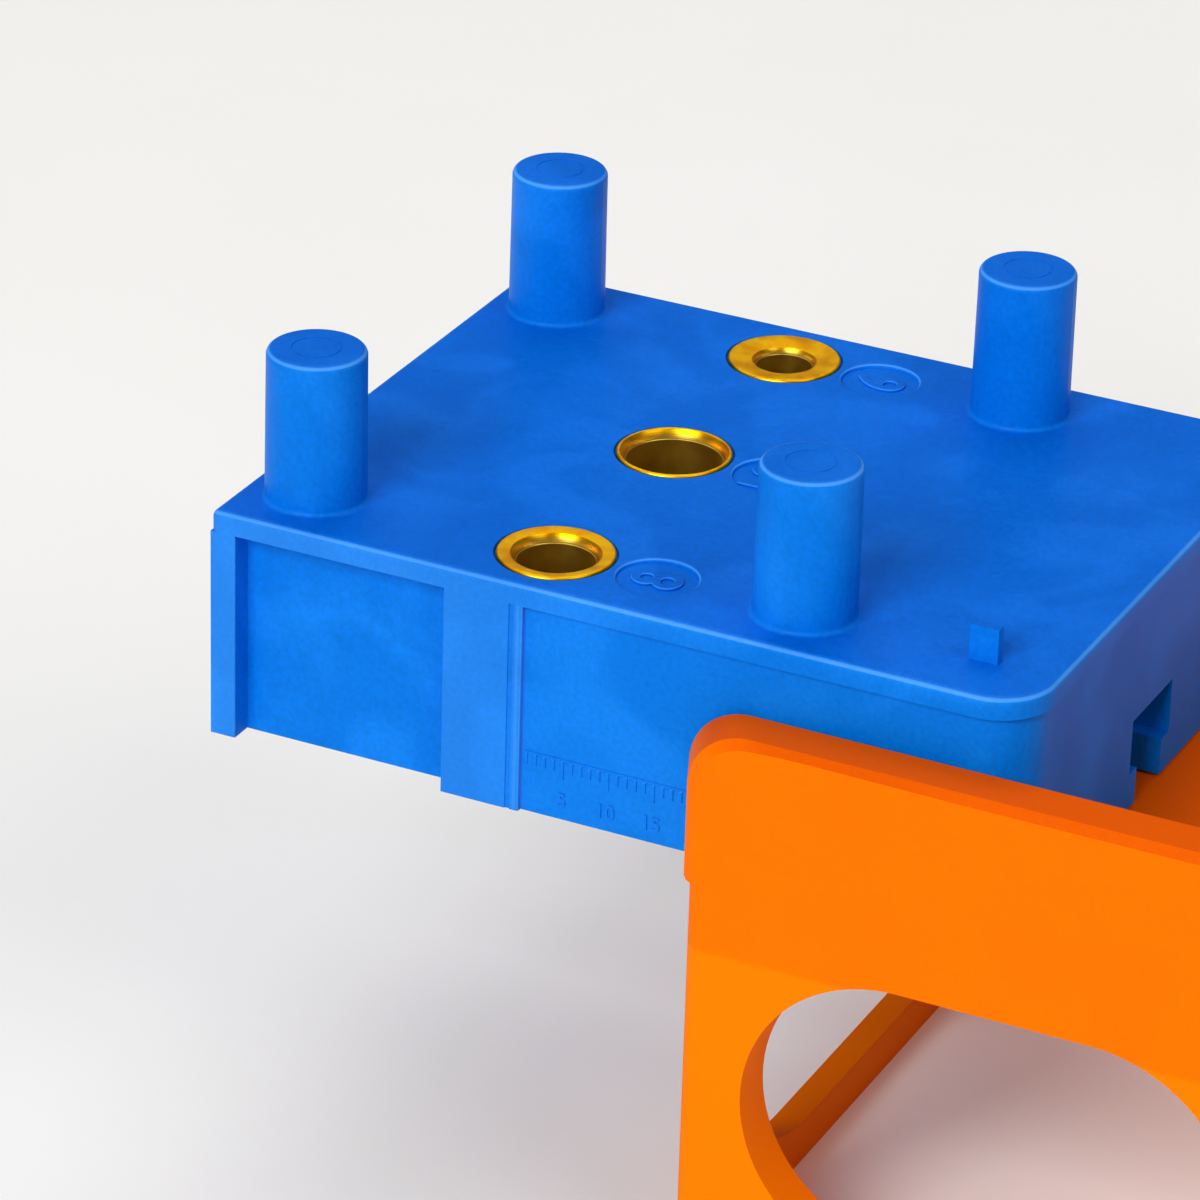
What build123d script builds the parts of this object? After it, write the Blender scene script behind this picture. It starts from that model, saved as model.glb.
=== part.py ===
from build123d import *
import math
import os

# Hand-held dowel drilling guide, in millimetres.
# Frame: origin on the axis of the middle bush, at the base face. +Z is up, away from the board.
# X is the way the fence slides, Y runs along the row of bushes, with the 8 mm bush at -Y.

# Driving dimensions of the guide body
hole_pitch = 27.0          # from one bush axis to the next
peg_offset_x = 27.0        # peg axis from the row of bushes; along Y the pegs line up with the outer bushes
left_margin = 2.3          # from a peg's foot to the left end
side_margin = 3.05         # from a peg's foot to the front and the back
body_right = 54.3          # from the row of bushes to the right end
body_height = 25.0
plate_thickness = 2.3      # top plate, whose edge stands out as a lip
wall = 2.4                 # skirt walls
right_corner_radius = 6.0
left_corner_radius = 0.8
lip_radius = 0.8           # rounding of the top plate's upper edge

# Side faces, the same at the front and the back
end_flange = 2.8           # plain strip at the left end
hand_recess_depth = 2.6
hand_recess_end = 8.2      # where the recess ends, left of the row of bushes
pad_end = 1.0              # where the plain pad ends, left of the row of bushes
zero_rib_width = 1.0       # rib on the row of bushes: the zero of the scale
zero_groove_depth = 0.15   # between the pad and the rib
side_edge_radius = 0.1     # broken upright edges of the strip, the pad and the rib
scale_panel_depth = 0.6    # the panel that carries the scale lies under the lip

# Pegs
peg_height = 16.2
peg_foot_radius = 5.2
peg_draft = 0.36           # degrees
peg_edge_radius = 0.7
peg_foot_fillet = 0.5
peg_core_radius = 2.6
peg_core_top = 2.6         # solid end above the core
peg_ring_radius = 2.6      # ring left on the peg's end by the mould's pin
peg_ring_width = 0.25
peg_ring_depth = 0.07

# Bushes
bore_radii = {"bush_8": 4.0, "bush_10": 5.0, "bush_6": 3.0}
bush_rows = {"bush_8": -1, "bush_10": 0, "bush_6": 1}
bush_wall = 1.0            # round the widest bore; the bushes share one outside
bush_length = 18.0
bush_stand = 0.15          # the bush's end stands just over the top face
bush_shoulder = 0.5        # the bore narrows below the bush, so that it can't be driven through
bush_edge = 0.25           # rounded outer edge
bush_lip_radius = 0.15     # rounding at the mouth
bush_cone = 0.2            # lead-in cone under it, all round
bush_cone_depth = 0.7
bush_throat = 0.25         # the throat below the cone is this much wider than the bore, all round
bush_throat_depth = 1.15
bush_ring_width = 0.25     # shallow ring cut round each bush
bush_ring_depth = 0.5
boss_wall = 2.6            # plastic round each bush

# Sunk labels beside the bushes
label_gap = 0.75           # between a label and the ring round the bush
label_radius = 4.1
label_depth = 0.45
label_edge_radius = 0.38

# Index lug near the right front corner
lug_from_right = 8.0       # lug's middle from the right end
lug_from_front = 6.95      # lug's front face from the body's front
lug_width = 3.0
lug_depth = 1.2
lug_height = 3.7

# Ribs under the top plate
rib = 1.5
left_cells = 3             # cells from the left wall to the row of bushes
right_cells = 5            # cells from the row of bushes to the right wall

# Slot rail for the clamp bolt
contact_nearest = 6.0      # the fence's nearest setting, from the row of bushes to the contact face
rail_end_play = 0.5        # left there between the head and the channel's inner end
rail_wall = 2.2
rail_lip = 4.0             # thickness of the two lips that the head bears on
head_clearance = 0.35
shank_clearance = 0.4
mouth_play = 1.8           # above the head, in the opening of the end wall

# Clamp bolt, washer and knob
bolt_radius = 3.0
head_across_flats = 10.0
head_height = 4.0
bolt_end_below_washer = 10.5
shank_point = 0.7
clamp_gap = 0.2            # play left under the head at rest
washer_radius = 9.0
washer_thickness = 1.6
washer_edge = 0.3
knob_hub_radius = 7.5
knob_hub_height = 2.6
knob_lobe_radius = 4.2
knob_lobe_pitch = 9.2      # lobe centre from the axis
knob_core_radius = 9.6
knob_height = 11.0
knob_edge_radius = 1.4
knob_valley_radius = 1.6
knob_dish_radius = 6.4     # shallow dish in the knob's free end
knob_dish_depth = 0.6
knob_dish_edge = 0.3
end_room_depth = 1.0
knob_lobes = 5
knob_gap = 0.1
insert_radius = 4.6
insert_length = 10.0
thread_play = 0.05

# Fence
contact_x = 21.5           # contact face from the row of bushes, as set in the photo
fence_length = 66.0
fence_bottom = 44.3        # below the base face
cheek_top = 17.2           # above the base face
cheek_thickness = 5.45
slide_gap = 0.3            # between the fence and the body, at the sides and under the base
cheek_corner_radius = 6.5
fence_foot_radius = 5.0
cheek_bevel = 0.85         # flat bevel round the cheeks' outer faces
pointer_reach = 2.35       # how far the bevelled edge beside the scale runs past the contact face
pointer_foot = 0.4         # its lower end, above the board
pointer_slant = 2.6        # the lower end rises this much towards the edge
window_radius = 16.0
window_centre_z = -21.8
window_rim = 7.0           # from the contact face to the window's end
web_thickness = 5.0
contact_wall = 3.0
contact_edge_radius = 2.0
sight_half_width = 30.0
sight_radius = 14.5
sight_centre_z = -25.0
knob_clearance = 1.6       # between the contact wall and the knob's lobes
gusset = 9.0
gusset_thickness = 2.0
gusset_offset = 24.0
web_inset = 3.0            # the web stops short of the cheeks' right ends
web_root = 1.0             # overlap of the web and the wall with the cheeks
hole_play = 0.3

# Places worked out from the sizes above
body_left = peg_offset_x + peg_foot_radius + left_margin
half_width = hole_pitch + peg_foot_radius + side_margin
body_width = 2 * half_width
bush_radius = max(bore_radii.values()) + bush_wall
bush_top = body_height + bush_stand
bush_bottom = bush_top - bush_length
plate_underside = body_height - plate_thickness
boss_radius = bush_radius + boss_wall
ring_radius = bush_radius + bush_ring_width
label_offset = ring_radius + label_gap + label_radius
bolt_offset = contact_wall + knob_clearance + knob_lobe_pitch + knob_lobe_radius
bolt_x = contact_x + bolt_offset
web_top = -slide_gap
web_underside = web_top - web_thickness
fence_right = contact_x + fence_length
cheek_inner = half_width + slide_gap
cheek_outer = cheek_inner + cheek_thickness
head_seat = rail_lip + clamp_gap
head_corner = head_across_flats / 2 / math.cos(math.radians(30))
rail_start = contact_nearest + bolt_offset - head_corner - rail_end_play
channel_half_width = head_across_flats / 2 + head_clearance
slot_half_width = bolt_radius + shank_clearance
washer_underside = web_underside - washer_thickness
knob_top = washer_underside - knob_gap
inner_left = -body_left + wall
inner_right = body_right - scale_panel_depth - wall

os.makedirs("parts", exist_ok=True)


# Guide body: top plate
with BuildPart() as guide_body:
    with BuildSketch(Plane.XY.offset(plate_underside)) as plate_outline:
        with Locations(((body_right - body_left) / 2, 0)):
            Rectangle(body_left + body_right, body_width)
        right_corners = plate_outline.vertices().group_by(Axis.X)[-1]
        fillet(right_corners, right_corner_radius)
        left_corners = plate_outline.vertices().group_by(Axis.X)[0]
        fillet(left_corners, left_corner_radius)
    extrude(amount=plate_thickness)
    fillet(guide_body.faces().sort_by(Axis.Z)[-1].edges(), lip_radius)

    # Skirt under the plate, with the scale panel set back from the lip
    with BuildSketch(Plane.XY) as skirt_outline:
        with Locations(((body_right - body_left - scale_panel_depth) / 2, 0)):
            Rectangle(body_left + body_right - scale_panel_depth, body_width - 2 * scale_panel_depth)
        skirt_corners = skirt_outline.vertices().group_by(Axis.X)[-1]
        fillet(skirt_corners, right_corner_radius - scale_panel_depth)
        for side in (-1, 1):
            # Plain strip at the left end
            with Locations((-body_left + end_flange / 2, side * (half_width - wall))):
                Rectangle(end_flange, 2 * wall)
            # Plain pad left of the zero rib
            pad_length = hand_recess_end - pad_end
            with Locations((-pad_end - pad_length / 2, side * (half_width - wall))):
                Rectangle(pad_length, 2 * wall)
            # Zero rib on the row of bushes, with a shallow groove up to the pad
            with Locations((0, side * (half_width - wall))):
                Rectangle(zero_rib_width, 2 * wall)
            with Locations((-pad_end / 2, side * (half_width - zero_groove_depth - wall))):
                Rectangle(pad_end, 2 * wall)
            # Recess between the strip and the pad
            recess_length = body_left - end_flange - hand_recess_end
            with Locations((-hand_recess_end - recess_length / 2, side * half_width)):
                Rectangle(recess_length, 2 * hand_recess_depth, mode=Mode.SUBTRACT)
        outer_corners = skirt_outline.vertices().filter_by(lambda v: abs(abs(v.Y) - half_width) < 0.01)
        upright_edges = outer_corners.filter_by(lambda v: v.X > -body_left + 0.01)
        fillet(upright_edges, side_edge_radius)
    extrude(amount=plate_underside)

    # Cells under the plate: the space inside the walls, less what stands in it
    with BuildSketch(Plane.XY) as cells:
        with Locations(((inner_left + inner_right) / 2, 0)):
            Rectangle(inner_right - inner_left, 2 * (half_width - hand_recess_depth - wall))
        wide_left = wall - hand_recess_end
        with Locations(((wide_left + inner_right) / 2, 0)):
            Rectangle(inner_right - wide_left, 2 * (half_width - scale_panel_depth - wall))
        # Ribs along Y, at even cells on each side of the row of bushes
        left_pitch = -inner_left / left_cells
        right_pitch = inner_right / right_cells
        rib_places = [(-left_pitch * n, 0) for n in range(1, left_cells)]
        rib_places += [(right_pitch * n, 0) for n in range(0, right_cells)]
        with Locations(*rib_places):
            Rectangle(rib, body_width, mode=Mode.SUBTRACT)
        # Ribs along X, midway between the bushes
        with Locations((0, -hole_pitch / 2), (0, hole_pitch / 2)):
            Rectangle(2 * (body_left + body_right), rib, mode=Mode.SUBTRACT)
        # Bosses for the bushes
        with Locations(*[(0, row * hole_pitch) for row in bush_rows.values()]):
            Circle(boss_radius, mode=Mode.SUBTRACT)
        # Slot rail for the clamp bolt
        rail_length = body_right - rail_start + rail_wall
        with Locations((rail_start - rail_wall + rail_length / 2, 0)):
            Rectangle(rail_length, 2 * (channel_half_width + rail_wall), mode=Mode.SUBTRACT)
    extrude(amount=plate_underside, mode=Mode.SUBTRACT)

    # Channel for the bolt's head, above the two lips
    with BuildSketch(Plane.XY.offset(rail_lip)) as channel:
        channel_length = body_right - scale_panel_depth - wall - rail_start
        with Locations((rail_start + channel_length / 2, 0)):
            Rectangle(channel_length, 2 * channel_half_width)
    extrude(amount=plate_underside - rail_lip, mode=Mode.SUBTRACT)
    # The head enters through the end wall
    with BuildSketch(Plane.XY.offset(rail_lip)) as channel_mouth:
        with Locations((body_right - wall, 0)):
            Rectangle(4 * wall, 2 * channel_half_width)
    extrude(amount=clamp_gap + head_height + mouth_play, mode=Mode.SUBTRACT)
    # Slot for the shank, between the lips
    with BuildSketch(Plane.XY) as slot:
        slot_length = body_right - rail_start + wall
        with Locations((rail_start + slot_length / 2, 0)):
            Rectangle(slot_length, 2 * slot_half_width)
    extrude(amount=rail_lip, mode=Mode.SUBTRACT)

    # Pegs, tapered for the mould
    peg_places = [(x, y) for x in (-peg_offset_x, peg_offset_x) for y in (-hole_pitch, hole_pitch)]
    with BuildSketch(Plane.XY.offset(body_height)) as peg_feet:
        with Locations(*peg_places):
            Circle(peg_foot_radius)
    extrude(amount=peg_height, taper=peg_draft)
    peg_rims = guide_body.edges().filter_by(GeomType.CIRCLE).group_by(Axis.Z)[-1]
    fillet(peg_rims, peg_edge_radius)
    foot_rims = (
        guide_body.edges()
        .filter_by(GeomType.CIRCLE)
        .filter_by(lambda e: abs(e.center().Z - body_height) < 0.01)
        .filter_by(lambda e: abs(e.radius - peg_foot_radius) < 0.01)
    )
    fillet(foot_rims, peg_foot_fillet)
    # Hollow cores, open to the underside
    with BuildSketch(Plane.XY.offset(plate_underside)) as peg_cores:
        with Locations(*peg_places):
            Circle(peg_core_radius)
    extrude(amount=plate_thickness + peg_height - peg_core_top, mode=Mode.SUBTRACT)
    # Pin marks on the pegs' ends
    with BuildSketch(Plane.XY.offset(body_height + peg_height)) as pin_marks:
        with Locations(*peg_places):
            Circle(peg_ring_radius)
            Circle(peg_ring_radius - peg_ring_width, mode=Mode.SUBTRACT)
    extrude(amount=-peg_ring_depth, mode=Mode.SUBTRACT)

    # Bores for the bushes, down to a shoulder, with a shallow ring round each at the top face
    bush_places = [(0, row * hole_pitch) for row in bush_rows.values()]
    bore_steps = (
        (0, bush_radius - bush_shoulder, bush_bottom),
        (bush_bottom, bush_radius, body_height - bush_bottom),
        (body_height - bush_ring_depth, ring_radius, bush_ring_depth),
    )
    for step_bottom, step_radius, step_height in bore_steps:
        with BuildSketch(Plane.XY.offset(step_bottom)) as bore_step:
            with Locations(*bush_places):
                Circle(step_radius)
        extrude(amount=step_height, mode=Mode.SUBTRACT)

    # Sunk labels
    with BuildSketch(Plane.XY.offset(body_height)) as labels:
        with Locations(*[(label_offset, row * hole_pitch) for row in bush_rows.values()]):
            Circle(label_radius)
    extrude(amount=-label_depth, mode=Mode.SUBTRACT)
    label_rims = (
        guide_body.edges()
        .filter_by(GeomType.CIRCLE)
        .filter_by(lambda e: abs(e.center().Z - body_height) < 0.01)
        .filter_by(lambda e: abs(e.radius - label_radius) < 0.01)
    )
    fillet(label_rims, label_edge_radius)

    # Index lug
    with BuildSketch(Plane.XY.offset(body_height)) as lug:
        with Locations((body_right - lug_from_right, -half_width + lug_from_front + lug_depth / 2)):
            Rectangle(lug_width, lug_depth)
    extrude(amount=lug_height)
guide_body.part.label = "guide_body"
export_step(guide_body.part, "parts/guide_body.step")


# Drill bushes: sleeves with a lead-in at the mouth, pressed into the body down to its shoulders
for name, bore_radius in bore_radii.items():
    throat_radius = bore_radius + bush_throat
    mouth_radius = throat_radius + bush_cone
    with BuildPart() as bush:
        with BuildSketch(Plane.XZ.offset(-bush_rows[name] * hole_pitch)) as bush_section:
            with BuildLine() as bush_profile:
                Polyline(
                    (bore_radius, bush_bottom),
                    (bush_radius - bush_edge, bush_bottom),
                    (bush_radius, bush_bottom + bush_edge),
                    (bush_radius, bush_top - bush_edge),
                )
                RadiusArc(
                    (bush_radius, bush_top - bush_edge),
                    (bush_radius - bush_edge, bush_top),
                    -bush_edge,
                )
                Line((bush_radius - bush_edge, bush_top), (mouth_radius + bush_lip_radius, bush_top))
                RadiusArc(
                    (mouth_radius + bush_lip_radius, bush_top),
                    (mouth_radius, bush_top - bush_lip_radius),
                    -bush_lip_radius,
                )
                Polyline(
                    (mouth_radius, bush_top - bush_lip_radius),
                    (throat_radius, bush_top - bush_cone_depth),
                    (throat_radius, bush_top - bush_throat_depth),
                    (bore_radius, bush_top - bush_throat_depth - bush_throat),
                    (bore_radius, bush_bottom),
                )
            make_face()
        bush_axis = Axis((0, bush_rows[name] * hole_pitch, 0), (0, 0, 1))
        revolve(axis=bush_axis)
    bush.part.label = name
    export_step(bush.part, f"parts/{name}.step")


# Clamp bolt: hexagon head in the body's channel, shank down through the slot and the web
with BuildPart() as clamp_bolt:
    with BuildSketch(Plane.XY.offset(head_seat)) as head_outline:
        with Locations((bolt_x, 0)):
            RegularPolygon(head_across_flats / 2, 6, major_radius=False)
    extrude(amount=head_height)
    # Corners of the head turned off at 30 degrees
    head_top = head_seat + head_height
    corner_drop = (head_corner - head_across_flats / 2) * math.tan(math.radians(30))
    with BuildSketch(Plane.XZ) as head_chamfer:
        with BuildLine() as head_chamfer_profile:
            Polyline(
                (bolt_x + head_across_flats / 2, head_top),
                (bolt_x + head_corner, head_top - corner_drop),
                (bolt_x + head_corner, head_top),
                close=True,
            )
        make_face()
    revolve(axis=Axis((bolt_x, 0, 0), (0, 0, 1)), mode=Mode.SUBTRACT)
    shank_end = washer_underside - bolt_end_below_washer
    with BuildSketch(Plane.XY.offset(head_seat)) as shank_outline:
        with Locations((bolt_x, 0)):
            Circle(bolt_radius)
    extrude(amount=shank_end - head_seat)
    chamfer(clamp_bolt.faces().sort_by(Axis.Z)[0].edges(), shank_point)
clamp_bolt.part.label = "clamp_bolt"
export_step(clamp_bolt.part, "parts/clamp_bolt.step")


# Washer between the web and the knob
with BuildPart() as clamp_washer:
    with BuildSketch(Plane.XY.offset(washer_underside)) as washer_outline:
        with Locations((bolt_x, 0)):
            Circle(washer_radius)
            Circle(bolt_radius + hole_play, mode=Mode.SUBTRACT)
    extrude(amount=washer_thickness)
    rims = clamp_washer.edges().filter_by(GeomType.CIRCLE)
    fillet(rims.filter_by(lambda e: abs(e.radius - washer_radius) < 0.01), washer_edge)
clamp_washer.part.label = "clamp_washer"
export_step(clamp_washer.part, "parts/clamp_washer.step")


# Knob: five lobes round a core, with a raised hub against the washer
with BuildPart() as clamp_knob:
    lobe_top = knob_top - knob_hub_height
    with BuildSketch(Plane.XY.offset(lobe_top)) as knob_outline:
        with Locations((bolt_x, 0)):
            Circle(knob_core_radius)
            with PolarLocations(knob_lobe_pitch, knob_lobes):
                Circle(knob_lobe_radius)
        valley_corners = knob_outline.vertices()
        fillet(valley_corners, knob_valley_radius)
    extrude(amount=-knob_height)
    fillet(clamp_knob.faces().filter_by(Axis.Z).sort_by(Axis.Z)[0].edges(), knob_edge_radius)
    fillet(clamp_knob.faces().filter_by(Axis.Z).sort_by(Axis.Z)[-1].edges(), knob_edge_radius)
    with BuildSketch(Plane.XY.offset(lobe_top)) as knob_hub:
        with Locations((bolt_x, 0)):
            Circle(knob_hub_radius)
    extrude(amount=knob_hub_height)
    # Seat for the threaded insert
    with BuildSketch(Plane.XY.offset(knob_top)) as insert_seat:
        with Locations((bolt_x, 0)):
            Circle(insert_radius)
    extrude(amount=-insert_length, mode=Mode.SUBTRACT)
    # Room for the bolt's end beyond the insert
    with BuildSketch(Plane.XY.offset(knob_top)) as end_room:
        with Locations((bolt_x, 0)):
            Circle(bolt_radius + hole_play)
    extrude(amount=-(bolt_end_below_washer + end_room_depth), mode=Mode.SUBTRACT)
    # Dish in the free end
    knob_end = lobe_top - knob_height
    with BuildSketch(Plane.XY.offset(knob_end)) as knob_dish:
        with Locations((bolt_x, 0)):
            Circle(knob_dish_radius)
    extrude(amount=knob_dish_depth, mode=Mode.SUBTRACT)
    end_rims = clamp_knob.faces().filter_by(Axis.Z).sort_by(Axis.Z)[0].inner_wires().edges()
    fillet(end_rims, knob_dish_edge)
clamp_knob.part.label = "clamp_knob"
export_step(clamp_knob.part, "parts/clamp_knob.step")


# Threaded insert, moulded into the knob
with BuildPart() as knob_insert:
    with BuildSketch(Plane.XY.offset(knob_top)) as insert_outline:
        with Locations((bolt_x, 0)):
            Circle(insert_radius)
            Circle(bolt_radius + thread_play, mode=Mode.SUBTRACT)
    extrude(amount=-insert_length)
knob_insert.part.label = "knob_insert"
export_step(knob_insert.part, "parts/knob_insert.step")


# Fence: two cheeks outside the body, a web under it and a contact wall below the base
with BuildPart() as fence:
    # Front cheek beside the body: its end face leans from the scale out to the contact face
    with BuildSketch(Plane.XZ.offset(cheek_outer)) as upper_outside:
        with Locations((contact_x + fence_length / 2, (cheek_top + pointer_foot) / 2)):
            Rectangle(fence_length, cheek_top - pointer_foot)
        fillet(upper_outside.vertices().group_by(Axis.Y)[-1], cheek_corner_radius)
    with BuildSketch(Plane.XZ.offset(cheek_inner)) as upper_inside:
        inside_length = fence_length + pointer_reach
        with Locations((fence_right - inside_length / 2, (cheek_top + pointer_foot) / 2)):
            Rectangle(inside_length, cheek_top - pointer_foot)
        fillet(upper_inside.vertices().group_by(Axis.Y)[-1], cheek_corner_radius)
    loft(ruled=True)
    upper_face = fence.faces().sort_by(Axis.Y)[0]
    soft_edges = upper_face.edges().filter_by(lambda e: e.center().Z > pointer_foot + 0.01)
    chamfer(soft_edges, cheek_bevel)
    # The pointer's lower end rises clear of the board
    with BuildSketch(Plane.XZ.offset(cheek_inner)) as pointer_end:
        with BuildLine() as pointer_end_profile:
            Polyline(
                (contact_x, pointer_foot),
                (contact_x - pointer_reach, pointer_foot),
                (contact_x - pointer_reach, pointer_foot + pointer_slant),
                close=True,
            )
        make_face()
    extrude(amount=cheek_thickness, mode=Mode.SUBTRACT)

    # Front cheek below the base face, with its window
    with BuildSketch(Plane.XZ.offset(cheek_outer)) as lower_cheek:
        with Locations((contact_x + fence_length / 2, (pointer_foot - fence_bottom) / 2)):
            Rectangle(fence_length, pointer_foot + fence_bottom)
        fillet(lower_cheek.vertices().group_by(Axis.Y)[0].sort_by(Axis.X)[-1], fence_foot_radius)
        with Locations((contact_x + fence_length / 2, window_centre_z)):
            SlotOverall(fence_length - 2 * window_rim, 2 * window_radius, mode=Mode.SUBTRACT)
    lower_part = extrude(amount=-cheek_thickness, mode=Mode.PRIVATE)
    contact_edge = lower_part.edges().filter_by(Axis.Z).sort_by(lambda e: e.center().X + e.center().Y)[0]
    lower_part = lower_part.fillet(contact_edge_radius, [contact_edge])
    lower_face = lower_part.faces().filter_by(Axis.Y).sort_by(Axis.Y)[0]
    rim_edges = lower_face.outer_wire().edges()
    rim_edges = rim_edges.filter_by(lambda e: e.center().Z < pointer_foot - 0.01)
    rim_edges = rim_edges.filter_by(lambda e: e.center().X > contact_x + contact_edge_radius + 0.01)
    add(lower_part.chamfer(cheek_bevel, None, rim_edges))

    # Back cheek
    mirror(about=Plane.XZ)

    # Web under the body, from the contact face to near the cheeks' right ends
    with BuildSketch(Plane.XY.offset(web_underside)) as web:
        web_length = fence_length - web_inset
        with Locations((contact_x + web_length / 2, 0)):
            Rectangle(web_length, 2 * cheek_inner + web_root)
        with Locations((bolt_x, 0)):
            Circle(bolt_radius + hole_play, mode=Mode.SUBTRACT)
    extrude(amount=web_thickness)

    # Contact wall between the cheeks, with its sight window
    with BuildSketch(Plane.YZ.offset(contact_x)) as wall_outline:
        with Locations((0, (web_top - fence_bottom) / 2)):
            Rectangle(2 * cheek_inner + web_root, web_top + fence_bottom)
        with Locations((0, sight_centre_z)):
            SlotOverall(2 * sight_half_width, 2 * sight_radius, mode=Mode.SUBTRACT)
    extrude(amount=contact_wall)

    # Gussets between the web and the contact wall
    for side in (-1, 1):
        with BuildSketch(Plane.XZ.offset(-side * gusset_offset - gusset_thickness / 2)):
            with BuildLine():
                Polyline(
                    (contact_x + contact_wall, web_underside),
                    (contact_x + contact_wall + gusset, web_underside),
                    (contact_x + contact_wall, web_underside - gusset),
                    close=True,
                )
            make_face()
        extrude(amount=gusset_thickness)
fence.part.label = "fence"
export_step(fence.part, "parts/fence.step")
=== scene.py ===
import bpy
import math
from mathutils import Matrix, Vector


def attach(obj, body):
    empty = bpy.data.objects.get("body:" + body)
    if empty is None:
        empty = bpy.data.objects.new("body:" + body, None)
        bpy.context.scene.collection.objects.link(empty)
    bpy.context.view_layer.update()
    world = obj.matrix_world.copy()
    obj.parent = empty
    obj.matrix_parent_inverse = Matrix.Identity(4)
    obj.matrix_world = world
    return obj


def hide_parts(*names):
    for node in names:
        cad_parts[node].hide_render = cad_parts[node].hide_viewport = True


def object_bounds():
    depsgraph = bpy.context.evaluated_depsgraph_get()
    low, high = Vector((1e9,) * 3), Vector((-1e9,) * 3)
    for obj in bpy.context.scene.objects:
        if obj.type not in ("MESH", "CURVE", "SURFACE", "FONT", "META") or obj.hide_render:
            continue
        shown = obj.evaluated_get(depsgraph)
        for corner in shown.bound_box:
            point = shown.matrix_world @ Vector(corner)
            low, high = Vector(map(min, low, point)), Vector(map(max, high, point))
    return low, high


# Hand-held drill guide: a moulded body with pressed-in bushes, on a sliding edge fence.
# Places are in metres in the part's own frame. Sizes are written in millimetres, times MM.

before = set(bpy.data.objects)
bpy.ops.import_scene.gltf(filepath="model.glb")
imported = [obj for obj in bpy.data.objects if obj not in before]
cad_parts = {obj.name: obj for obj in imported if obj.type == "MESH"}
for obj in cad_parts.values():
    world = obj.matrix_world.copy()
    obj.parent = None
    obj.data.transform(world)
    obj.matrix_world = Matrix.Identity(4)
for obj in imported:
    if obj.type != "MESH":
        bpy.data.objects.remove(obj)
cad_low, cad_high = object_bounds()

MM = 0.001

# Sizes of the part that its marks, its painted light and shade, and the new bushes follow
BODY_TOP = 25.0 * MM
LIP_UNDERSIDE = 22.7 * MM
SIDE_Y = 35.25 * MM
SCALE_PANEL_Y = 34.65 * MM
LABEL_X = 11.1 * MM
LABEL_FLOOR = 24.55 * MM
HOLE_PITCH = 27.0 * MM
BUSH_TOP = 25.15 * MM
BUSH_BOTTOM = 7.15 * MM
BUSH_RADIUS = 6.0 * MM
WEB_UNDERSIDE = -5.3 * MM

# For each bush: radius of its bore, how much wider its mouth is all round, and its place in the row
BUSHES = {
    "bush_8": (4.0 * MM, 0.5 * MM, -1),
    "bush_10": (5.0 * MM, 0.55 * MM, 0),
    "bush_6": (3.0 * MM, 0.36 * MM, 1),
}

# Between these heights the gold film on a bush gives way to steel
BUSH_MOUTH = 24.85 * MM
BUSH_LEAD_END = 24.1 * MM

# The millimetre scale: its line, from which the marks hang, its figures below them, and its last five
SCALE_LINE_Z = 6.5 * MM
SCALE_FIGURE_Z = 2.1 * MM
SCALE_LAST_X = 45.0 * MM
MARK_RISE = 0.14 * MM

# Points closer than this are one point
SAME_PLACE = 0.001 * MM

# How much of the paler painted highlight colour comes through where the painted highlight is strongest
HIGHLIGHT_STRENGTH = 0.8

# Painted tone across the zero rib, from RIB_REACH left of its middle to RIB_REACH right: 0.5 is the plain
# colour, more is a paler painted highlight and less is a darker painted shade
RIB_REACH = 1.5 * MM
PLAIN_TONE = 0.5
RIB_TONES = (
    (0.1, PLAIN_TONE),
    (0.26, 0.48),
    (0.37, 0.52),
    (0.5, 0.7),
    (0.6, 0.58),
    (0.655, 0.72),
    (0.675, 0.72),
    (0.7, 0.54),
    (0.85, PLAIN_TONE),
)

# Soft boxes: azimuth and elevation in degrees, distance, width and height in metres, power in watts
SOFT_BOXES = {
    "key_box": (-5, 34, 4.0, 2.15, 1.85, 123),
    "over_box": (205, 64, 1.4, 1.0, 0.8, 6.4),
    "right_box": (75, 45, 1.4, 0.8, 0.8, 4.0),
    "left_box": (-85, 45, 1.4, 0.8, 0.8, 1.6),
}
ROOM_LIGHT = 0.16
FLOOR_LIFT = 0.06


# Camera, at the photograph's viewing angle

def place_camera():
    azimuth, elevation, roll = (math.radians(a) for a in (25.474, 26.324, 1.744))
    target = Vector((-11.078, 6.633, 2.544)) * MM
    distance = 636.33 * MM
    back = Vector((
        math.sin(azimuth) * math.cos(elevation),
        -math.cos(azimuth) * math.cos(elevation),
        math.sin(elevation),
    ))
    level_right = (-back).cross(Vector((0, 0, 1))).normalized()
    level_up = level_right.cross(-back)
    right = math.cos(roll) * level_right + math.sin(roll) * level_up
    up = -math.sin(roll) * level_right + math.cos(roll) * level_up
    lens_data = bpy.data.cameras.new("camera")
    lens_data.sensor_width = 36
    lens_data.lens = 180.68
    lens_data.clip_start = 10 * MM
    lens_data.clip_end = 20
    camera = bpy.data.objects.new("camera", lens_data)
    bpy.context.scene.collection.objects.link(camera)
    turn = Matrix((right, up, back)).transposed().to_4x4()
    camera.matrix_world = Matrix.Translation(target + back * distance) @ turn
    bpy.context.scene.camera = camera


# Colours and nodes

def colour(hex_code):
    """The linear colour of an sRGB hex value."""
    channels = [int(hex_code[i:i + 2], 16) / 255 for i in (1, 3, 5)]
    linear = [c / 12.92 if c <= 0.04045 else ((c + 0.055) / 1.055) ** 2.4 for c in channels]
    return (*linear, 1.0)


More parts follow.
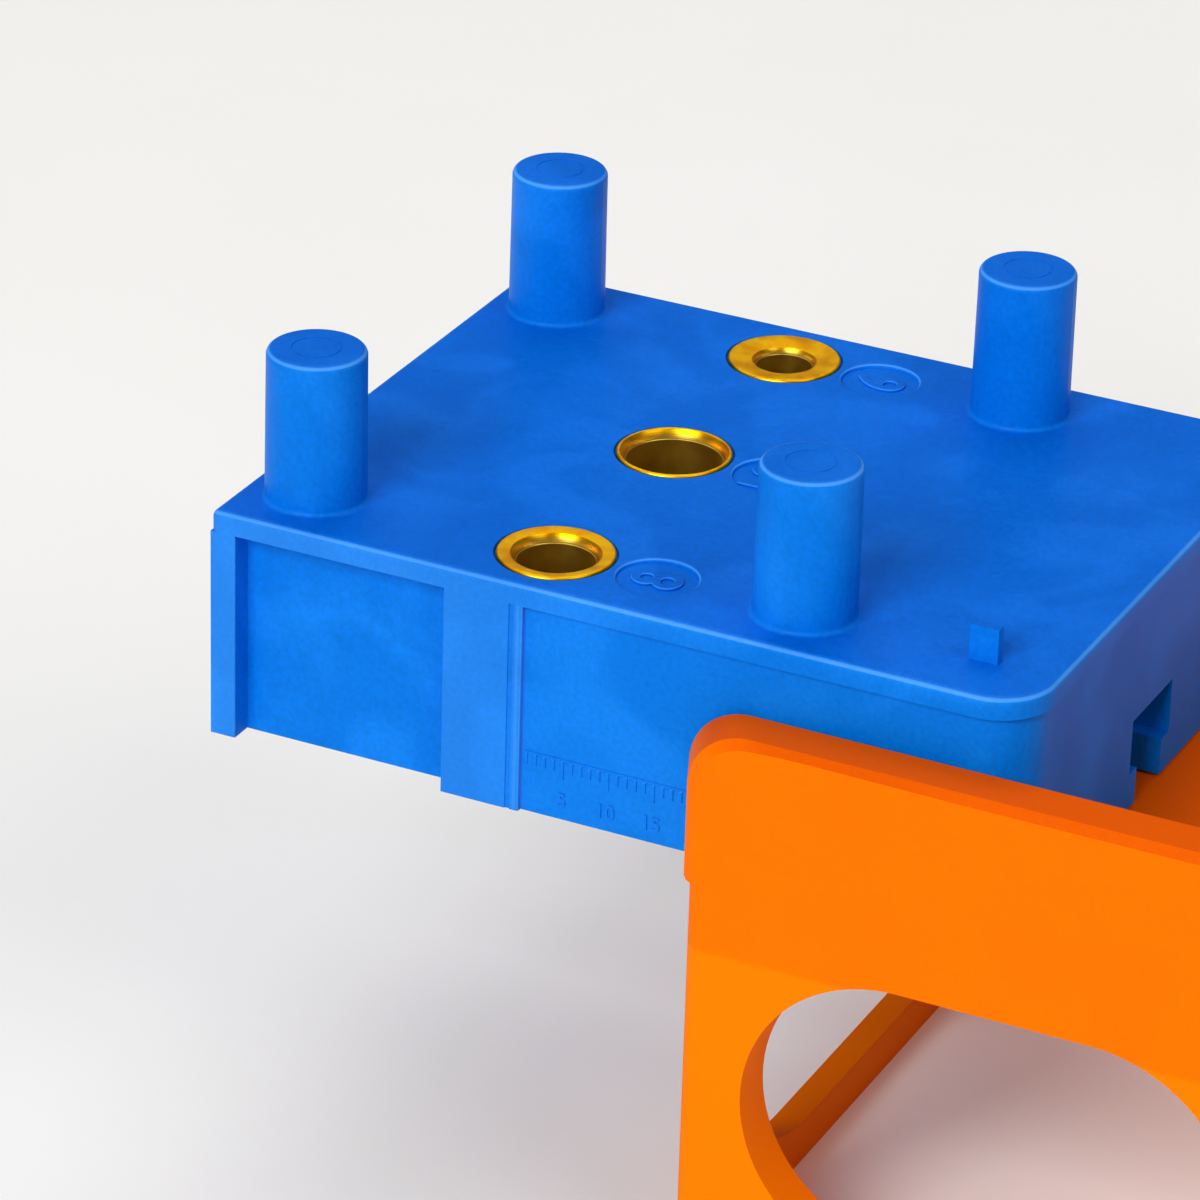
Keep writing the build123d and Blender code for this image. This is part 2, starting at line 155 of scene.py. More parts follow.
def add_node(tree, kind, settings=None, inputs=None):
    """A node with its settings, and its inputs set to a value or linked to another node's output."""
    node = tree.nodes.new("ShaderNode" + kind)
    for name, value in (settings or {}).items():
        setattr(node, name, value)
    for name, value in (inputs or {}).items():
        if isinstance(value, bpy.types.NodeSocket):
            tree.links.new(value, node.inputs[name])
        else:
            node.inputs[name].default_value = value
    return node


def new_material(name):
    material = bpy.data.materials.new(name)
    material.use_nodes = True
    tree = material.node_tree
    tree.nodes.clear()
    output = add_node(tree, "OutputMaterial")
    shader = add_node(tree, "BsdfPrincipled")
    tree.links.new(shader.outputs["BSDF"], output.inputs["Surface"])
    return material, tree, shader


def grain_scale(size_mm):
    """Noise scale whose features are about this many millimetres across."""
    return 1 / (size_mm * MM)


# Materials

def moulded_abs(name, main, clouded, mottle, top_shade_colour, top_shade_lean, roughness, specular,
                highlight_colour=None, through_light_colour=None):
    """ABS, injection moulded in a spark-eroded tool: an even satin with a fine grain, faint clouds where
    the melt flowed, and upper faces painted darker as painted shade. The lean pair gives the upward lean
    at which that painted shade starts, and the one at which it is full."""
    material, tree, shader = new_material(name)
    place = add_node(tree, "TexCoord")
    flow = add_node(tree, "TexNoise", inputs={
        "Vector": place.outputs["Object"], "Scale": grain_scale(14), "Detail": 2.0, "Distortion": 0.6,
    })
    speckle = add_node(tree, "TexNoise", inputs={
        "Vector": place.outputs["Object"], "Scale": grain_scale(0.55), "Detail": 2.0,
    })
    # The real grain is about 0.05 mm: drawn at 0.3 mm, so that it shows
    grain = add_node(tree, "TexNoise", inputs={
        "Vector": place.outputs["Object"], "Scale": grain_scale(0.3), "Detail": 3.0, "Roughness": 0.6,
    })
    cloud_share = add_node(tree, "MapRange", {"interpolation_type": "SMOOTHSTEP"}, {
        "Value": flow.outputs["Fac"], "From Min": 0.4, "From Max": 0.65,
    })
    base = add_node(tree, "Mix", {"data_type": "RGBA"}, {
        "Factor": cloud_share.outputs["Result"], "A": colour(main), "B": colour(clouded),
    })
    speckle_level = add_node(tree, "MapRange", inputs={
        "Value": speckle.outputs["Fac"], "From Min": 0.3, "From Max": 0.7,
        "To Min": 1 - mottle, "To Max": 1 + mottle,
    })
    speckled = add_node(tree, "VectorMath", {"operation": "SCALE"}, {
        0: base.outputs["Result"], "Scale": speckle_level.outputs["Result"],
    })
    tone = speckled.outputs["Vector"]
    # Painted highlights on roundings, rib and side faces, and painted shade beside the rib
    if highlight_colour:
        tone = rubbed_tone(tree, place, flow, tone, highlight_colour)
    # Painted shade: upper faces darker, for how the light falls on them
    upward = add_node(tree, "SeparateXYZ", inputs={"Vector": place.outputs["Normal"]})
    top_shade_share = add_node(tree, "MapRange", inputs={
        "Value": upward.outputs["Z"], "From Min": top_shade_lean[0], "From Max": top_shade_lean[1],
    })
    top_shaded = add_node(tree, "Mix", {"data_type": "RGBA", "blend_type": "MULTIPLY"}, {
        "Factor": top_shade_share.outputs["Result"], "A": tone, "B": colour(top_shade_colour),
    })
    tone = top_shaded.outputs["Result"]
    # Painted light: the fence paler below the web, for light through its thin frame
    if through_light_colour:
        tone = lit_through_tone(tree, place, tone, through_light_colour)
    tree.links.new(tone, shader.inputs["Base Color"])
    gloss = add_node(tree, "MapRange", inputs={
        "Value": speckle.outputs["Fac"], "From Min": 0.3, "From Max": 0.7,
        "To Min": roughness - 0.05, "To Max": roughness + 0.06,
    })
    tree.links.new(gloss.outputs["Result"], shader.inputs["Roughness"])
    bump = add_node(tree, "Bump", inputs={
        "Height": grain.outputs["Fac"], "Strength": 0.5, "Distance": 0.03 * MM,
    })
    tree.links.new(bump.outputs["Normal"], shader.inputs["Normal"])
    shader.inputs["IOR"].default_value = 1.54
    shader.inputs["Specular IOR Level"].default_value = specular
    return material


def rubbed_tone(tree, place, flow, plain, highlight_colour):
    """The body's tone with painted highlights, paler on its upper roundings, on the zero rib and on the
    side faces that stand out, and with painted shade a little darker at the foot of the rib."""
    apart = add_node(tree, "SeparateXYZ", inputs={"Vector": place.outputs["Object"]})
    # Painted highlight on the upper roundings: zero on flat tops and walls, most where a rounding leans at
    # 45 degrees
    lean = add_node(tree, "SeparateXYZ", inputs={"Vector": place.outputs["Normal"]})
    lean_squared = add_node(tree, "Math", {"operation": "POWER"}, {0: lean.outputs["Z"], 1: 2.0})
    lean_rest = add_node(tree, "Math", {"operation": "SUBTRACT"}, {
        0: 1.0, 1: lean_squared.outputs["Value"],
    })
    lean_product = add_node(tree, "Math", {"operation": "MULTIPLY"}, {
        0: lean_squared.outputs["Value"], 1: lean_rest.outputs["Value"],
    })
    highlight_line = add_node(tree, "MapRange", {"interpolation_type": "SMOOTHSTEP"}, {
        "Value": lean_product.outputs["Value"], "From Min": 0.13, "From Max": 0.25,
    })
    highlight_patch = add_node(tree, "MapRange", inputs={
        "Value": flow.outputs["Fac"], "From Min": 0.3, "From Max": 0.7, "To Min": 0.6, "To Max": 1.0,
    })
    highlight_mask = add_node(tree, "Math", {"operation": "MULTIPLY"}, {
        0: highlight_line.outputs["Result"], 1: highlight_patch.outputs["Result"],
    })
    # No painted highlight on the hollow rounding at a peg's foot
    peg_foot = add_node(tree, "Math", {"operation": "COMPARE"}, {
        0: apart.outputs["Z"], 1: BODY_TOP + 0.5 * MM, 2: 0.47 * MM,
    })
    foot_free_highlight = add_node(tree, "Math", {"operation": "SUBTRACT"}, {
        0: HIGHLIGHT_STRENGTH, 1: peg_foot.outputs["Value"],
    })
    edge_share = add_node(tree, "Math", {"operation": "MULTIPLY", "use_clamp": True}, {
        0: highlight_mask.outputs["Value"], 1: foot_free_highlight.outputs["Value"],
    })
    # Painted highlight and painted shade on the zero rib, on both sides and below the lip
    across_rib = add_node(tree, "MapRange", inputs={
        "Value": apart.outputs["X"], "From Min": -RIB_REACH, "From Max": RIB_REACH,
    })
    rib_tone = add_node(tree, "ValToRGB", inputs={"Fac": across_rib.outputs["Result"]})
    rib_tone.color_ramp.interpolation = "EASE"
    for across, level in RIB_TONES:
        stop = rib_tone.color_ramp.elements.new(across)
        stop.color = (level, level, level, 1)
    for end_stop in (rib_tone.color_ramp.elements[0], rib_tone.color_ramp.elements[-1]):
        end_stop.color = (PLAIN_TONE, PLAIN_TONE, PLAIN_TONE, 1)
    side_reach = add_node(tree, "Math", {"operation": "ABSOLUTE"}, {0: apart.outputs["Y"]})
    on_side = add_node(tree, "Math", {"operation": "GREATER_THAN"}, {
        0: side_reach.outputs["Value"], 1: SCALE_PANEL_Y - 0.1 * MM,
    })
    below_lip = add_node(tree, "Math", {"operation": "LESS_THAN"}, {
        0: apart.outputs["Z"], 1: LIP_UNDERSIDE,
    })
    on_rib = add_node(tree, "Math", {"operation": "MULTIPLY"}, {
        0: on_side.outputs["Value"], 1: below_lip.outputs["Value"],
    })
    rib_share = add_node(tree, "Math", {"operation": "MULTIPLY"}, {
        0: on_rib.outputs["Value"], 1: HIGHLIGHT_STRENGTH,
    })
    rib_shadow = add_node(tree, "MapRange", inputs={
        "Value": rib_tone.outputs["Color"], "From Min": 0.0, "From Max": PLAIN_TONE,
        "To Min": 1.0, "To Max": 0.0,
    })
    shadow_share = add_node(tree, "Math", {"operation": "MULTIPLY"}, {
        0: rib_shadow.outputs["Result"], 1: rib_share.outputs["Value"],
    })
    toned = add_node(tree, "Mix", {"data_type": "RGBA"}, {
        "Factor": shadow_share.outputs["Value"], "A": plain, "B": (0, 0, 0, 1),
    })
    rib_pale = add_node(tree, "MapRange", inputs={
        "Value": rib_tone.outputs["Color"], "From Min": PLAIN_TONE, "From Max": 1.0,
    })
    pale_share = add_node(tree, "Math", {"operation": "MULTIPLY"}, {
        0: rib_pale.outputs["Result"], 1: rib_share.outputs["Value"],
    })
    # Painted highlight on the faces that stand out furthest on the sides, most at the left end
    standing_out = add_node(tree, "MapRange", inputs={
        "Value": side_reach.outputs["Value"],
        "From Min": SIDE_Y - 0.2 * MM, "From Max": SIDE_Y - 0.05 * MM,
    })
    end_highlight = add_node(tree, "MapRange", {"interpolation_type": "SMOOTHSTEP"}, {
        "Value": apart.outputs["X"], "From Min": -20 * MM, "From Max": 25 * MM,
        "To Min": 0.23 * HIGHLIGHT_STRENGTH, "To Max": 0.0,
    })
    side_share = add_node(tree, "Math", {"operation": "MULTIPLY"}, {
        0: standing_out.outputs["Result"], 1: end_highlight.outputs["Result"],
    })
    sides_highlighted = add_node(tree, "Math", {"operation": "MAXIMUM"}, {
        0: side_share.outputs["Value"], 1: pale_share.outputs["Value"],
    })
    all_highlighted = add_node(tree, "Math", {"operation": "MAXIMUM"}, {
        0: edge_share.outputs["Value"], 1: sides_highlighted.outputs["Value"],
    })
    paled = add_node(tree, "Mix", {"data_type": "RGBA"}, {
        "Factor": all_highlighted.outputs["Value"], "A": toned.outputs["Result"], "B": colour(highlight_colour),
    })
    return paled.outputs["Result"]


def lit_through_tone(tree, place, plain, through_light_colour):
    """The fence's tone, painted yellower below the web: painted light for light through its thin frame."""
    apart = add_node(tree, "SeparateXYZ", inputs={"Vector": place.outputs["Object"]})
    below_web = add_node(tree, "MapRange", {"interpolation_type": "SMOOTHSTEP"}, {
        "Value": apart.outputs["Z"],
        "From Min": WEB_UNDERSIDE - 1.0 * MM, "From Max": WEB_UNDERSIDE - 1.8 * MM,
    })
    painted_through_light = add_node(tree, "Mix", {"data_type": "RGBA"}, {
        "Factor": below_web.outputs["Result"], "A": plain, "B": colour(through_light_colour),
    })
    return painted_through_light.outputs["Result"]


def yellow_zinc_steel():
    """Turned steel, yellow-passivated zinc: a gold film with fine turning rings on the end faces, and
    bores that the plating hardly reaches, where paler steel shows through."""
    material, tree, shader = new_material("turned_steel_yellow_zinc")
    place = add_node(tree, "TexCoord")
    apart = add_node(tree, "SeparateXYZ", inputs={"Vector": place.outputs["Object"]})
    # Each bush's own axis: Y is wrapped at the pitch of the row
    own_y = add_node(tree, "Math", {"operation": "WRAP"}, {
        0: apart.outputs["Y"], 1: HOLE_PITCH / 2, 2: -HOLE_PITCH / 2,
    })
    from_axis = add_node(tree, "CombineXYZ", inputs={
        "X": apart.outputs["X"], "Y": own_y.outputs["Value"],
    })
    radius = add_node(tree, "VectorMath", {"operation": "LENGTH"}, {0: from_axis.outputs["Vector"]})
    ring_pitch = 0.12 * MM
    turns = add_node(tree, "Math", {"operation": "MULTIPLY"}, {
        0: radius.outputs["Value"], 1: 2 * math.pi / ring_pitch,
    })
    rings = add_node(tree, "Math", {"operation": "SINE"}, {0: turns.outputs["Value"]})
    film = add_node(tree, "TexNoise", inputs={
        "Vector": place.outputs["Object"], "Scale": grain_scale(2.2), "Detail": 3.0,
    })
    film_share = add_node(tree, "MapRange", inputs={
        "Value": film.outputs["Fac"], "From Min": 0.38, "From Max": 0.62,
    })
    gold = add_node(tree, "Mix", {"data_type": "RGBA"}, {
        "Factor": film_share.outputs["Result"], "A": colour("#F4A800"), "B": colour("#FFC60C"),
    })
    # Down the lead-in and in the bore, steel shows through the thin film
    depth = add_node(tree, "MapRange", {"interpolation_type": "SMOOTHSTEP"}, {
        "Value": apart.outputs["Z"], "From Min": BUSH_MOUTH, "From Max": BUSH_LEAD_END,
    })
    coated = add_node(tree, "Mix", {"data_type": "RGBA"}, {
        "Factor": depth.outputs["Result"], "A": gold.outputs["Result"], "B": colour("#E0C050"),
    })
    tree.links.new(coated.outputs["Result"], shader.inputs["Base Color"])
    shader.inputs["Metallic"].default_value = 1.0
    # End faces keep their turning marks, the lead-in is polished in use
    lean = add_node(tree, "SeparateXYZ", inputs={"Vector": place.outputs["Normal"]})
    faced = add_node(tree, "MapRange", inputs={
        "Value": lean.outputs["Z"], "From Min": 0.6, "From Max": 0.95, "To Min": 0.33, "To Max": 0.5,
    })
    unevenness = add_node(tree, "MapRange", inputs={
        "Value": film.outputs["Fac"], "From Min": 0.3, "From Max": 0.7, "To Min": -0.04, "To Max": 0.05,
    })
    dullness = add_node(tree, "Math", {"operation": "ADD"}, {
        0: faced.outputs["Result"], 1: unevenness.outputs["Result"],
    })
    tree.links.new(dullness.outputs["Value"], shader.inputs["Roughness"])
    bump = add_node(tree, "Bump", inputs={
        "Height": rings.outputs["Value"], "Strength": 0.25, "Distance": 0.004 * MM,
    })
    tree.links.new(bump.outputs["Normal"], shader.inputs["Normal"])
    return material


def blue_zinc_steel():
    """Cold-formed steel, blue-white zinc: pale grey metal, a little clouded."""
    material, tree, shader = new_material("formed_steel_blue_zinc")
    place = add_node(tree, "TexCoord")
    cloud = add_node(tree, "TexNoise", inputs={
        "Vector": place.outputs["Object"], "Scale": grain_scale(1.6), "Detail": 4.0,
    })
    tone = add_node(tree, "Mix", {"data_type": "RGBA"}, {
        "Factor": cloud.outputs["Fac"], "A": colour("#A9AEB4"), "B": colour("#C9CDD0"),
    })
    tree.links.new(tone.outputs["Result"], shader.inputs["Base Color"])
    shader.inputs["Metallic"].default_value = 1.0
    gloss = add_node(tree, "MapRange", inputs={
        "Value": cloud.outputs["Fac"], "To Min": 0.3, "To Max": 0.45,
    })
    tree.links.new(gloss.outputs["Result"], shader.inputs["Roughness"])
    bump = add_node(tree, "Bump", inputs={
        "Height": cloud.outputs["Fac"], "Strength": 0.15, "Distance": 0.01 * MM,
    })
    tree.links.new(bump.outputs["Normal"], shader.inputs["Normal"])
    return material


def glass_filled_nylon():
    """Glass-filled nylon, moulded: near black, dull, with a fibre-flecked skin."""
    material, tree, shader = new_material("moulded_nylon_glass_filled_black")
    place = add_node(tree, "TexCoord")
    fleck = add_node(tree, "TexNoise", inputs={
        "Vector": place.outputs["Object"], "Scale": grain_scale(0.4), "Detail": 4.0, "Roughness": 0.7,
    })
    tone = add_node(tree, "Mix", {"data_type": "RGBA"}, {
        "Factor": fleck.outputs["Fac"], "A": colour("#141518"), "B": colour("#2A2C30"),
    })
    tree.links.new(tone.outputs["Result"], shader.inputs["Base Color"])
    gloss = add_node(tree, "MapRange", inputs={
        "Value": fleck.outputs["Fac"], "To Min": 0.42, "To Max": 0.6,
    })
    tree.links.new(gloss.outputs["Result"], shader.inputs["Roughness"])
    bump = add_node(tree, "Bump", inputs={
        "Height": fleck.outputs["Fac"], "Strength": 0.4, "Distance": 0.04 * MM,
    })
    tree.links.new(bump.outputs["Normal"], shader.inputs["Normal"])
    shader.inputs["IOR"].default_value = 1.53
    return material


def turned_brass():
    """Brass, turned: warm yellow metal with faint dulling."""
    material, tree, shader = new_material("turned_brass")
    place = add_node(tree, "TexCoord")
    dull = add_node(tree, "TexNoise", inputs={
        "Vector": place.outputs["Object"], "Scale": grain_scale(1.2), "Detail": 3.0,
    })
    tone = add_node(tree, "Mix", {"data_type": "RGBA"}, {
        "Factor": dull.outputs["Fac"], "A": colour("#B8923F"), "B": colour("#D4B262"),
    })
    tree.links.new(tone.outputs["Result"], shader.inputs["Base Color"])
    shader.inputs["Metallic"].default_value = 1.0
    shader.inputs["Roughness"].default_value = 0.3
    return material


def floor_paint():
    """Matt white paint. Seen from below it is clear, so that the underside can be looked at."""
    material, tree, shader = new_material("matt_floor_paint")
    place = add_node(tree, "TexCoord")
    mottle = add_node(tree, "TexNoise", inputs={
        "Vector": place.outputs["Object"], "Scale": grain_scale(60),
    })
    tone = add_node(tree, "Mix", {"data_type": "RGBA"}, {
        "Factor": mottle.outputs["Fac"], "A": colour("#EFEEEB"), "B": colour("#F4F3F1"),
    })
    tree.links.new(tone.outputs["Result"], shader.inputs["Base Color"])
    shader.inputs["Roughness"].default_value = 0.7
    # A little brighter to the eye and in reflections than the lamps make it, with the shadows kept
    ray = add_node(tree, "LightPath")
    seen = add_node(tree, "Math", {"operation": "MAXIMUM"}, {
        0: ray.outputs["Is Camera Ray"], 1: ray.outputs["Is Glossy Ray"],
    })
    seen_through = add_node(tree, "Math", {"operation": "MAXIMUM"}, {
        0: seen.outputs["Value"], 1: ray.outputs["Is Transmission Ray"],
    })
    lift_strength = add_node(tree, "Math", {"operation": "MULTIPLY"}, {
        0: seen_through.outputs["Value"], 1: FLOOR_LIFT,
    })
    lift = add_node(tree, "Emission", inputs={
        "Color": colour("#F4F2EE"), "Strength": lift_strength.outputs["Value"],
    })
    painted = add_node(tree, "AddShader", inputs={
        0: shader.outputs["BSDF"], 1: lift.outputs["Emission"],
    })
    side = add_node(tree, "NewGeometry")
    clear = add_node(tree, "BsdfTransparent")
    both = add_node(tree, "MixShader", inputs={
        0: side.outputs["Backfacing"], 1: painted.outputs["Shader"], 2: clear.outputs["BSDF"],
    })
    output = next(n for n in tree.nodes if n.bl_idname == "ShaderNodeOutputMaterial")
    tree.links.new(both.outputs["Shader"], output.inputs["Surface"])
    return material


# Pieces

def rename(piece, name):
    piece.name = name
    piece.data.name = name


def give_finish(piece, finish):
    piece.data.materials.clear()
    piece.data.materials.append(finish)


def select_only(*pieces):
    bpy.ops.object.select_all(action="DESELECT")
    for piece in pieces:
        piece.select_set(True)
    bpy.context.view_layer.objects.active = pieces[0]


def raised_number(name, text, height, rise, rounding, right, up, origin):
    """Moulded figures, standing off the surface by rise: right and up are the ways that they read."""
    bpy.ops.object.select_all(action="DESELECT")
    bpy.ops.object.text_add(location=(0, 0, 0))
    figures = bpy.context.object
    # A figure of the built-in type is this share of its type size tall
    figure_share = 0.69
    figures.data.body = text
    figures.data.align_x = "CENTER"
    figures.data.align_y = "CENTER"
    figures.data.size = height / figure_share
    figures.data.extrude = rise / 2 - rounding
    figures.data.bevel_depth = rounding
    figures.data.bevel_resolution = 3
    figures.data.resolution_u = 6
    bpy.ops.object.convert(target="MESH")
    figures = bpy.context.object
    rename(figures, name)
    # The middle of the text's own box goes to half the rise above the origin
    corners = [Vector(c) for c in figures.bound_box]
    middle = (corners[0] + corners[6]) / 2
    outward = right.cross(up)
    turn = Matrix((right, up, outward)).transposed().to_4x4()
    to_place = Matrix.Translation(origin + outward * rise / 2)
    figures.matrix_world = to_place @ turn @ Matrix.Translation(-middle)
    select_only(figures)
    bpy.ops.object.transform_apply(location=True, rotation=True, scale=True)
    bpy.ops.object.mode_set(mode="EDIT")
    bpy.ops.mesh.select_all(action="SELECT")
    bpy.ops.mesh.remove_doubles(threshold=SAME_PLACE)
    bpy.ops.mesh.normals_make_consistent(inside=False)
    bpy.ops.object.mode_set(mode="OBJECT")
    bpy.ops.object.shade_smooth_by_angle(angle=math.radians(30))
    return figures


def mark_row(name, side, first, repeats, length):
    """A row of moulded scale marks on a side panel: one bar made once, then repeated along X by each
    count and pitch in turn."""
    bpy.ops.object.select_all(action="DESELECT")
    width, rounding = 0.42 * MM, 0.12 * MM
    bpy.ops.mesh.primitive_cube_add(
        size=1,
        location=(first, side * (SCALE_PANEL_Y + MARK_RISE / 2), SCALE_LINE_Z - length / 2),
        scale=(width, MARK_RISE, length),
    )
    bars = bpy.context.object
    rename(bars, name)
    bpy.ops.object.transform_apply(location=True, rotation=True, scale=True)
    # The outer edges are rounded, the ones on the panel stay square
    bpy.ops.object.mode_set(mode="EDIT")
    bpy.ops.mesh.select_all(action="DESELECT")
    bpy.ops.mesh.select_mode(type="EDGE")
    bpy.ops.object.mode_set(mode="OBJECT")
    outer = SCALE_PANEL_Y + MARK_RISE
    for edge in bars.data.edges:
        ends = [bars.data.vertices[i].co for i in edge.vertices]
        edge.select = all(abs(abs(p.y) - outer) < 0.01 * MM for p in ends)
    bpy.ops.object.mode_set(mode="EDIT")
    bpy.ops.mesh.bevel(offset=rounding, segments=3, profile=0.5)
    bpy.ops.object.mode_set(mode="OBJECT")
    for count, pitch in repeats:
        repeat = bars.modifiers.new("repeat", "ARRAY")
        repeat.use_relative_offset = False
        repeat.use_constant_offset = True
        repeat.constant_offset_displace = (pitch, 0, 0)
        repeat.count = count
        bpy.ops.object.modifier_apply(modifier="repeat")
    bpy.ops.object.shade_smooth_by_angle(angle=math.radians(40))
    return bars


def mark_line(name, side, first, last):
    """The thin moulded line that the scale marks hang from."""
    bpy.ops.object.select_all(action="DESELECT")
    width, rise = 0.25 * MM, 0.12 * MM
    bpy.ops.mesh.primitive_cube_add(
        size=1,
        location=((first + last) / 2, side * (SCALE_PANEL_Y + rise / 2), SCALE_LINE_Z + width / 2),
        scale=(last - first, rise, width),
    )
    line = bpy.context.object
    rename(line, name)
    bpy.ops.object.transform_apply(location=True, rotation=True, scale=True)
    rounding = line.modifiers.new("rounding", "BEVEL")
    rounding.width = 0.06 * MM
    rounding.segments = 2
    bpy.ops.object.modifier_apply(modifier="rounding")
    return line


def arc(across, height, radius, first, last, steps=5):
    """Points of a rounding in a turned section, from one angle to another in degrees."""
    angles = [math.radians(first + (last - first) * i / steps) for i in range(steps + 1)]
    return [(across + radius * math.cos(a), height + radius * math.sin(a)) for a in angles]


def turned_bush(name, bore_radius, lead, row):
    """A bush turned from bar: rounded rim, end face dished towards the mouth, steep lead-in cone with a
    rounded lip, a small step and the bore. Lead is how much wider than the bore the mouth is, all round."""
    bpy.ops.object.select_all(action="DESELECT")
    rim, lip, step = 0.28 * MM, 0.15 * MM, 0.08 * MM
    dish_slope = 0.14
    lead_slope = math.tan(math.radians(60))
    mouth = bore_radius + lead
    lip_top = BUSH_TOP - dish_slope * (BUSH_RADIUS - rim - mouth - lip)
    cone_end = lip_top - 0.5 * lip - (lead - step) * lead_slope
    section = [
        (bore_radius, BUSH_BOTTOM),
        (BUSH_RADIUS - rim, BUSH_BOTTOM),
        (BUSH_RADIUS, BUSH_BOTTOM + rim),
        *arc(BUSH_RADIUS - rim, BUSH_TOP - rim, rim, 0, 90),
        *arc(mouth + lip, lip_top - lip, lip, 90, 150),
        (bore_radius + step, cone_end),
        (bore_radius + step, cone_end - step),
        (bore_radius, cone_end - 2 * step),
        (bore_radius, BUSH_BOTTOM),
    ]
    centre = Vector((0, row * HOLE_PITCH, 0))
    radius, height = section[0]
    bpy.ops.mesh.primitive_circle_add(
        vertices=144, radius=radius, fill_type="NOTHING", location=centre + Vector((0, 0, height)),
    )
    bush = bpy.context.object
    rename(bush, name)
    bpy.ops.object.transform_apply(location=True, rotation=True, scale=True)
    bpy.ops.object.mode_set(mode="EDIT")
    bpy.ops.mesh.select_all(action="SELECT")
    for next_radius, next_height in section[1:]:
        bpy.ops.mesh.extrude_region_move(TRANSFORM_OT_translate={"value": (0, 0, next_height - height)})
        widen = next_radius / radius
        ring_centre = centre + Vector((0, 0, next_height))
        bpy.ops.transform.resize(value=(widen, widen, 1), center_override=ring_centre)
        radius, height = next_radius, next_height
    bpy.ops.mesh.select_all(action="SELECT")
    bpy.ops.mesh.remove_doubles(threshold=SAME_PLACE)
    bpy.ops.mesh.normals_make_consistent(inside=False)
    bpy.ops.object.mode_set(mode="OBJECT")
    bpy.ops.object.shade_smooth_by_angle(angle=math.radians(35))
    return bush


def join_as(name, pieces):
    """One piece of several, each with its own mesh until now."""
    select_only(*pieces)
    bpy.ops.object.join()
    joined = bpy.context.object
    rename(joined, name)
    return joined


def size_labels():
    """The size of its bore beside each bush, read from the left end of the body."""
    height, rise, rounding = 5.1 * MM, 0.28 * MM, 0.13 * MM
    right, up = Vector((0, 1, 0)), Vector((-1, 0, 0))
    made = []
    for text, row in (("8", -1), ("10", 0), ("6", 1)):
        origin = Vector((LABEL_X, row * HOLE_PITCH, LABEL_FLOOR))
        made.append(raised_number("size_" + text, text, height, rise, rounding, right, up, origin))
    return made


def side_scale(side):
    """Millimetre scale on the front (side -1) or back (side 1) panel: marks, and figures every 5 mm."""
    word = "front" if side < 0 else "back"
    fives = round(SCALE_LAST_X / (5 * MM))
    short, long, overrun = 1.25 * MM, 2.0 * MM, 0.2 * MM
    pieces = [
        mark_row("short_" + word, side, 1 * MM, ((4, 1 * MM), (fives, 5 * MM)), short),
        mark_row("long_" + word, side, 5 * MM, ((fives, 5 * MM),), long),
        mark_line("line_" + word, side, 1 * MM - overrun, SCALE_LAST_X + overrun),
    ]
    height, rounding = 1.5 * MM, 0.03 * MM
    right, up = Vector((-side, 0, 0)), Vector((0, 0, 1))
    for value in range(5, int(SCALE_LAST_X / MM) + 1, 5):
        origin = Vector((value * MM, side * SCALE_PANEL_Y, SCALE_FIGURE_Z))
        pieces.append(raised_number("figure", str(value), height, MARK_RISE, rounding, right, up, origin))
    return join_as("scale_" + word, pieces)


# Floor and light

def lay_floor(material):
    bpy.ops.object.select_all(action="DESELECT")
    gap = 0.02 * MM
    bpy.ops.mesh.primitive_plane_add(size=6, location=(0, 0, cad_low.z - gap))
    floor = bpy.context.object
    floor.name = "floor"
    give_finish(floor, material)


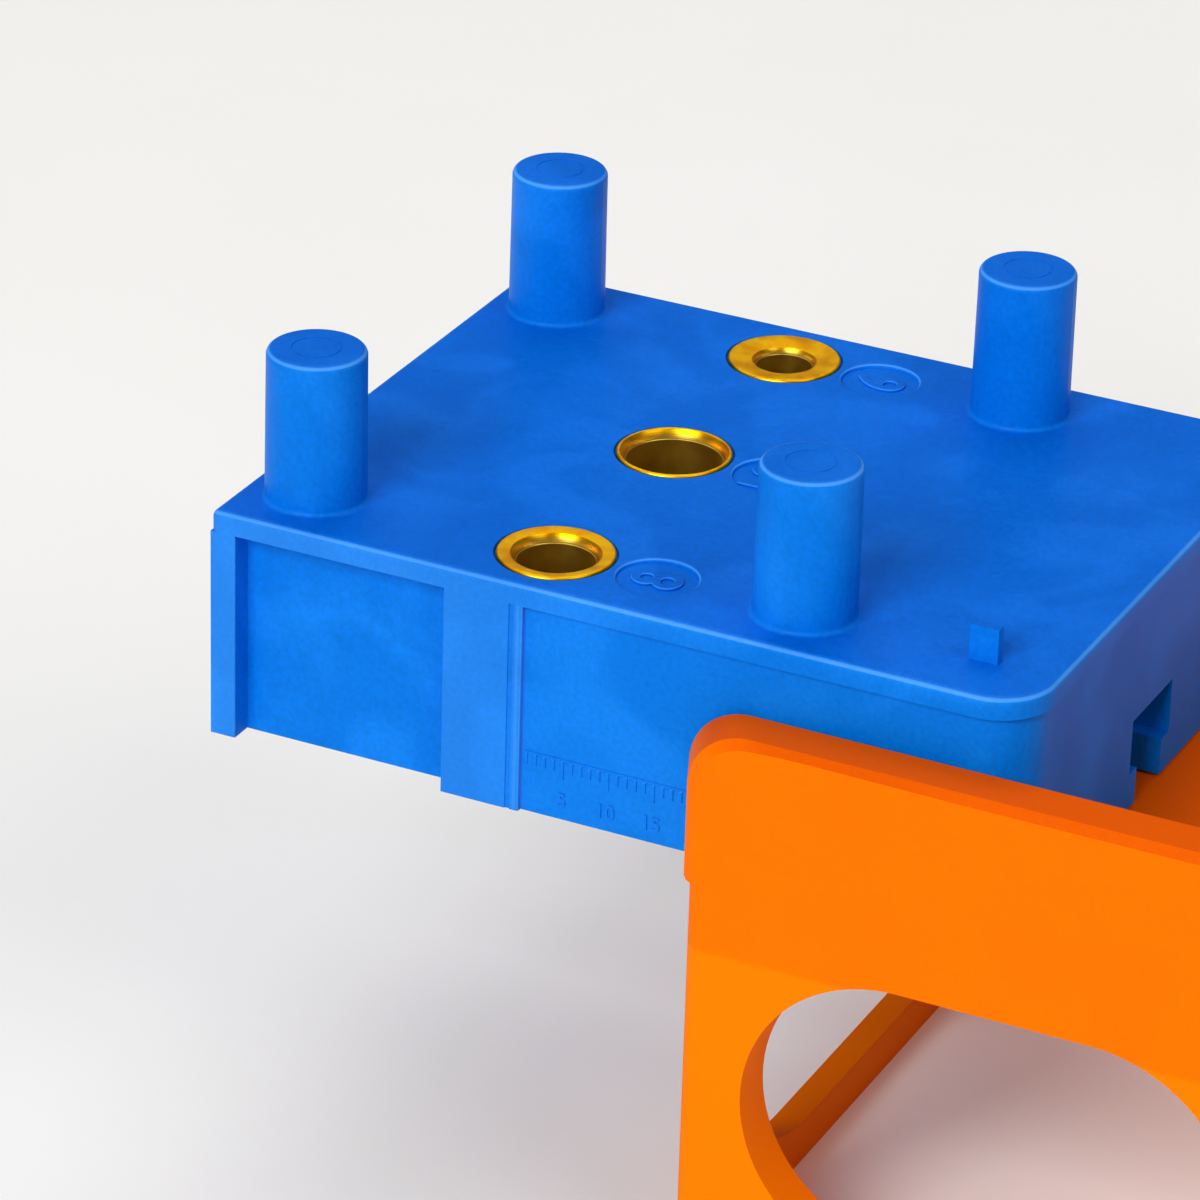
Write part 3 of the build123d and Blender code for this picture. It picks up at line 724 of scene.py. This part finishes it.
def soft_box(name, azimuth, elevation, distance, width, height, power):
    """A soft box that looks at the middle of the part."""
    a, e = math.radians(azimuth), math.radians(elevation)
    way = Vector((math.sin(a) * math.cos(e), -math.cos(a) * math.cos(e), math.sin(e)))
    data = bpy.data.lights.new(name, "AREA")
    data.shape = "RECTANGLE"
    data.size = width
    data.size_y = height
    data.energy = power
    lamp = bpy.data.objects.new(name, data)
    bpy.context.scene.collection.objects.link(lamp)
    middle = Vector((0.02, 0, 0))
    lamp.location = middle + way * distance
    lamp.rotation_mode = "QUATERNION"
    lamp.rotation_quaternion = way.to_track_quat("Z", "Y")


def light_the_scene():
    for name, setting in SOFT_BOXES.items():
        soft_box(name, *setting)
    world = bpy.data.worlds.new("room")
    bpy.context.scene.world = world
    world.use_nodes = True
    tree = world.node_tree
    tree.nodes.clear()
    room = add_node(tree, "Background", inputs={"Color": colour("#FFFFFF"), "Strength": ROOM_LIGHT})
    output = add_node(tree, "OutputWorld")
    tree.links.new(room.outputs["Background"], output.inputs["Surface"])
    bpy.context.scene.view_settings.view_transform = "Standard"


# The scene

place_camera()

# Painted shade on the upper faces of both; painted highlights and rib shade on the blue; painted light
# below the web on the orange
blue_abs = moulded_abs(
    "moulded_abs_blue", main="#0073DC", clouded="#0C7DE9", mottle=0.08, top_shade_colour="#DCDCEF",
    top_shade_lean=(0.6, 1.0), roughness=0.4, specular=0.05, highlight_colour="#58A8FF",
)
orange_abs = moulded_abs(
    "moulded_abs_orange", main="#FA7200", clouded="#FC7400", mottle=0.02, top_shade_colour="#E4C5BC",
    top_shade_lean=(0.35, 0.75), roughness=0.5, specular=0.02, through_light_colour="#FF8000",
)
bush_steel = yellow_zinc_steel()
bolt_steel = blue_zinc_steel()
finishes = {
    "guide_body": blue_abs,
    "bush_8": bush_steel,
    "bush_10": bush_steel,
    "bush_6": bush_steel,
    "fence": orange_abs,
    "clamp_bolt": bolt_steel,
    "clamp_washer": bolt_steel,
    "clamp_knob": glass_filled_nylon(),
    "knob_insert": turned_brass(),
}
for node, finish in finishes.items():
    give_finish(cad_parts[node], finish)

for node, (bore_radius, lead, row) in BUSHES.items():
    bush = turned_bush("turned_" + node, bore_radius, lead, row)
    give_finish(bush, bush_steel)
    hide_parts(node)
    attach(bush, "guide")

for marks in [*size_labels(), side_scale(-1), side_scale(1)]:
    give_finish(marks, blue_abs)
    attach(marks, "guide")

lay_floor(floor_paint())
light_the_scene()
